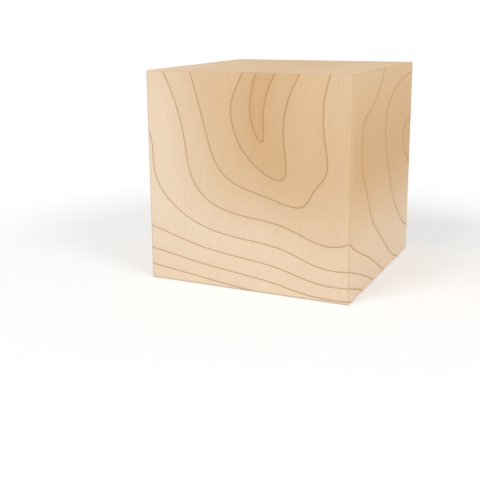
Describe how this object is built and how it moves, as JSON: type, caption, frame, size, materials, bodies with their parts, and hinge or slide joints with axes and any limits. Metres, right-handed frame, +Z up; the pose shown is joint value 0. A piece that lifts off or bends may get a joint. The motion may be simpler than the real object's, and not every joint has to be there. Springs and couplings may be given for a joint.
{
  "type": "wooden cube",
  "caption": "Plain solid wooden cube with flat planed faces and lightly rounded edges, its grain running upright and its end grain on top and bottom.",
  "frame": {"origin": "middle of the bottom face", "axes": "+Z is up and runs with the grain, -Y is the front face, +X is the right-hand face"},
  "size_m": [0.0508, 0.0508, 0.0508],
  "materials": {
    "wood": "bare wood, planed and sanded smooth, with no stain or varnish"
  },
  "bodies": {
    "root": {"wooden_cube": "wood"}
  },
  "joints": []
}
